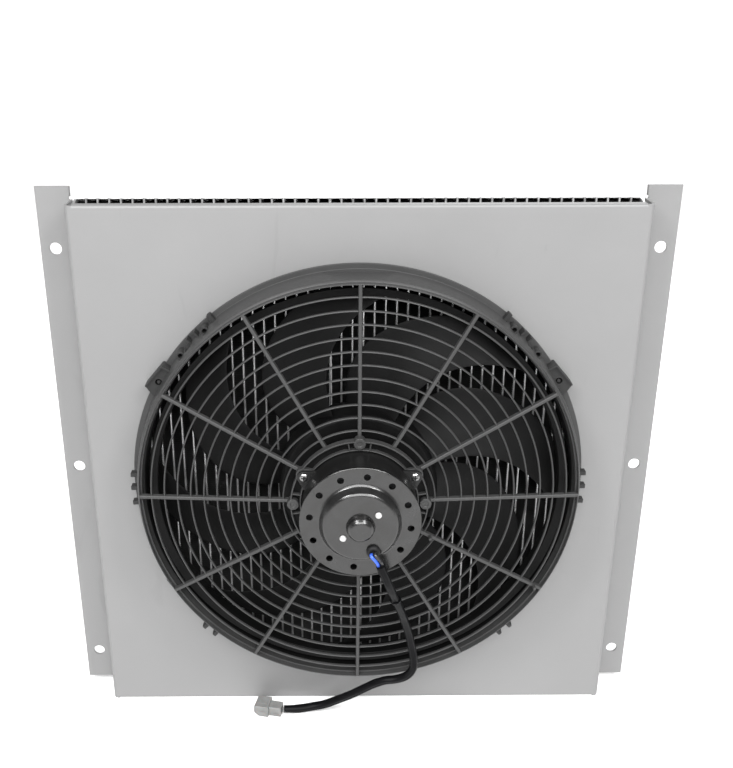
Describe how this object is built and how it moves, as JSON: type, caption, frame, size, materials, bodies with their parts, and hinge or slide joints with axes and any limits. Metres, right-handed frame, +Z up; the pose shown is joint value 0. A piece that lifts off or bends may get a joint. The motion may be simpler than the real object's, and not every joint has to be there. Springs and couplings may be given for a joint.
{
  "type": "engine radiator with electric fan",
  "caption": "Flat aluminium engine radiator in a folded sheet shroud, with a guarded electric fan, its motor and lead on the front, and tanks with hose necks on the back.",
  "frame": {"origin": "centre of the box around the radiator without its lead, on the surface it stands on", "axes": "+Z up along the core tubes, the fan faces -Y, +X to the right as seen from the fan side"},
  "size_m": [0.555, 0.2481, 0.516],
  "materials": {
    "sheet_aluminium": "folded sheet, fine brushed and matt",
    "core_aluminium": "brazed flat tubes, satin",
    "fin_aluminium": "brazed fins, dull grey",
    "tank_aluminium": "welded tanks, satin",
    "fan_plastic": "grained black polyamide, faded to dark grey",
    "rotor_plastic": "matt black moulding",
    "motor_steel": "black painted steel can",
    "cap_steel": "zinc plated pressed steel",
    "bright_steel": "bright plated fasteners",
    "copper": "enamelled copper winding",
    "ferrite": "ferrite",
    "carbon": "carbon brush",
    "rubber": "black rubber",
    "sleeve": "grey braided sleeve",
    "wire_blue": "blue wire insulation",
    "wire_black": "black wire insulation",
    "nylon": "natural nylon",
    "brass": "plain brass"
  },
  "bodies": {
    "radiator": {"bearing_cap": "cap_steel", "brush_left": "carbon", "brush_plate": "ferrite", "brush_right": "carbon", "cable_sleeve": "sleeve", "cable_tie": "rubber", "cap_rivet_1": "bright_steel", "cap_rivet_2": "bright_steel", "connector_housing": "nylon", "drain_seal": "rubber", "fan_guard": "fan_plastic", "fan_housing": "fan_plastic", "fan_screw_1": "bright_steel", "fan_screw_2": "bright_steel", "fan_screw_3": "bright_steel", "fan_screw_4": "bright_steel", "filler_neck": "tank_aluminium", "fin_pack": "fin_aluminium", "front_bearing": "bright_steel", "grommet": "rubber", "guard_screw_1": "bright_steel", "guard_screw_2": "bright_steel", "guard_screw_3": "bright_steel", "inlet_neck": "tank_aluminium", "lower_header": "tank_aluminium", "lower_tank": "tank_aluminium", "magnet_left": "ferrite", "magnet_right": "ferrite", "motor_can": "motor_steel", "motor_end_cap": "cap_steel", "outlet_neck": "tank_aluminium", "overflow_nipple": "tank_aluminium", "rear_bearing": "bright_steel", "shroud_panel": "sheet_aluminium", "side_channel_left": "core_aluminium", "side_channel_right": "core_aluminium", "side_screw_left_1": "bright_steel", "side_screw_left_2": "bright_steel", "side_screw_left_3": "bright_steel", "side_screw_right_1": "bright_steel", "side_screw_right_2": "bright_steel", "side_screw_right_3": "bright_steel", "terminal_1": "brass", "terminal_2": "brass", "tube_bank": "core_aluminium", "upper_header": "tank_aluminium", "upper_tank": "tank_aluminium", "wire_black": "wire_black", "wire_blue": "wire_blue"},
    "fan_rotor": {"rotor": "rotor_plastic", "rotor_nut": "bright_steel", "shaft": "bright_steel", "armature": "copper", "commutator": "copper"},
    "pressure_cap": {"cap_shell": "bright_steel", "cap_spring": "bright_steel"},
    "relief_valve": {"cap_valve": "rubber"},
    "drain_cock": {"drain_screw": "brass"}
  },
  "joints": [
    {"name": "rotor_spin", "type": "hinge", "parent": "radiator", "child": "fan_rotor", "pos_m": [0, -0.026, 0.25], "axis": [0, 1, 0], "continuous": true},
    {"name": "cap_turn", "type": "hinge", "parent": "radiator", "child": "pressure_cap", "pos_m": [0.12, 0.067, 0.472], "axis": [0, 0, 1], "range_deg": [0, 90]},
    {"name": "valve_lift", "type": "slide", "parent": "pressure_cap", "child": "relief_valve", "axis": [0, 0, 1], "range_m": [0, 0.003], "stiffness_N_per_m": 3000, "springref_m": -0.004, "deforming": ["cap_spring"]},
    {"name": "drain_turn", "type": "hinge", "parent": "radiator", "child": "drain_cock", "pos_m": [-0.19, 0.1, 0.02], "axis": [0, 1, 0], "range_deg": [0, 180]}
  ]
}
